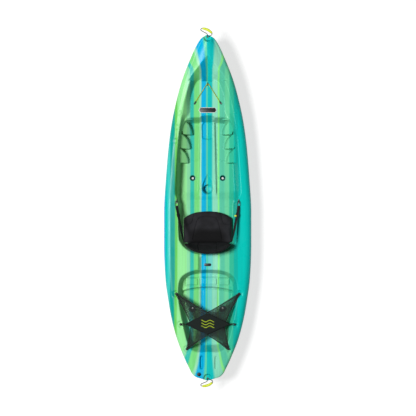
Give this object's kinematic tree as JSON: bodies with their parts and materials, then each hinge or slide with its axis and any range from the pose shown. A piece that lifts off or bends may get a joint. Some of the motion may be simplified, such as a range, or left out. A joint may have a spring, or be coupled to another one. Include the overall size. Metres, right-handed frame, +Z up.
{
  "type": "recreational kayak",
  "caption": "Sit-on-top recreational kayak with a folding seat, foot braces, a covered tank well, carry handles and a drain plug.",
  "frame": {"origin": "on the floor under the middle of the boat", "axes": "+Y to the bow, +X to starboard, +Z up"},
  "size_m": [0.737, 3.0225, 0.4408],
  "materials": {
    "deck_plastic": "striped polyethylene, half gloss",
    "hull_plastic": "striped polyethylene, half gloss",
    "white_foam": "closed-cell foam",
    "lime_plastic": "moulded grip",
    "black_nylon": "moulded nylon",
    "stainless_steel": "stainless",
    "lime_cord": "stretch cord",
    "black_cord": "braided cord",
    "black_webbing": "woven strap",
    "seat_cloth": "padded cloth",
    "net_cloth": "open mesh",
    "seal_rubber": "ring seal",
    "badge_plastic": "plain plate"
  },
  "bodies": {
    "boat": {"deck_shell": "deck_plastic", "hull_shell": "hull_plastic", "scupper_tube_front_port": "deck_plastic", "scupper_tube_front_starboard": "deck_plastic", "scupper_tube_rear_port": "deck_plastic", "scupper_tube_rear_starboard": "deck_plastic", "foam_block_bow": "white_foam", "foam_block_seat": "white_foam", "foam_block_stern": "white_foam", "bow_handle_rope": "black_cord", "stern_handle_rope": "black_cord", "bow_handle_stopper": "black_nylon", "stern_handle_stopper": "black_nylon", "drain_plug_seat": "black_nylon", "seat_cushion": "seat_cloth", "seat_padeye_port": "black_nylon", "seat_padeye_starboard": "black_nylon", "padeye_screw_port_fore": "stainless_steel", "padeye_screw_port_aft": "stainless_steel", "padeye_screw_starboard_fore": "stainless_steel", "padeye_screw_starboard_aft": "stainless_steel", "snap_hook_port": "black_nylon", "snap_hook_starboard": "black_nylon", "seat_strap_port": "black_webbing", "seat_strap_starboard": "black_webbing", "bow_bungee": "lime_cord", "bungee_end_port": "black_nylon", "bungee_end_starboard": "black_nylon", "bungee_screw_port": "stainless_steel", "bungee_screw_starboard": "stainless_steel", "bungee_guide": "black_nylon", "net_post_front_port": "black_nylon", "net_post_front_starboard": "black_nylon", "net_post_middle_port": "black_nylon", "net_post_middle_starboard": "black_nylon", "net_post_rear_port": "black_nylon", "net_post_rear_starboard": "black_nylon", "net_edge_cord": "black_cord", "tank_net": "net_cloth", "net_panel": "net_cloth", "net_side_loop_port": "black_cord", "net_side_loop_starboard": "black_cord", "bow_badge": "badge_plastic", "rear_badge": "badge_plastic"},
    "backrest": {"seat_backrest": "seat_cloth"},
    "bow_grip": {"bow_handle_grip": "lime_plastic"},
    "stern_grip": {"stern_handle_grip": "lime_plastic"},
    "plug_seal": {"drain_plug_seal": "seal_rubber"},
    "plug_cap": {"drain_plug": "black_nylon"},
    "port_buckle": {"strap_buckle_port": "black_nylon"},
    "starboard_buckle": {"strap_buckle_starboard": "black_nylon"}
  },
  "joints": [
    {"name": "backrest_fold", "type": "hinge", "parent": "boat", "child": "backrest", "pos_m": [0, -0.286, 0.19489], "axis": [1, 0, 0], "range_deg": [-80, 0], "deforming": ["seat_strap_port", "seat_strap_starboard"]},
    {"name": "bow_handle_swing", "type": "hinge", "parent": "boat", "child": "bow_grip", "pos_m": [0, 1.45, 0.3346], "axis": [1, 0, 0], "range_deg": [-16, 114], "deforming": ["bow_handle_rope"]},
    {"name": "stern_handle_swing", "type": "hinge", "parent": "boat", "child": "stern_grip", "pos_m": [0, -1.45, 0.2746], "axis": [-1, 0, 0], "range_deg": [-16, 114], "deforming": ["stern_handle_rope"]},
    {"name": "plug_lift", "type": "slide", "parent": "boat", "child": "plug_seal", "axis": [0, 0, 1], "range_m": [0, 0.015]},
    {"name": "plug_turn", "type": "hinge", "parent": "plug_seal", "child": "plug_cap", "pos_m": [-0.073, -1.399, 0.28236], "axis": [0, 0, 1], "range_deg": [0, 1800]},
    {"name": "port_buckle_slide", "type": "slide", "parent": "boat", "child": "port_buckle", "axis": [0.186, -0.9431, 0.2756], "range_m": [-0.012, 0.05]},
    {"name": "starboard_buckle_slide", "type": "slide", "parent": "boat", "child": "starboard_buckle", "axis": [-0.186, -0.9431, 0.2756], "range_m": [-0.012, 0.05]}
  ],
  "couplings": [
    {"joint": "plug_lift", "follows": "plug_turn", "m_per_rad": 0.00047746}
  ]
}
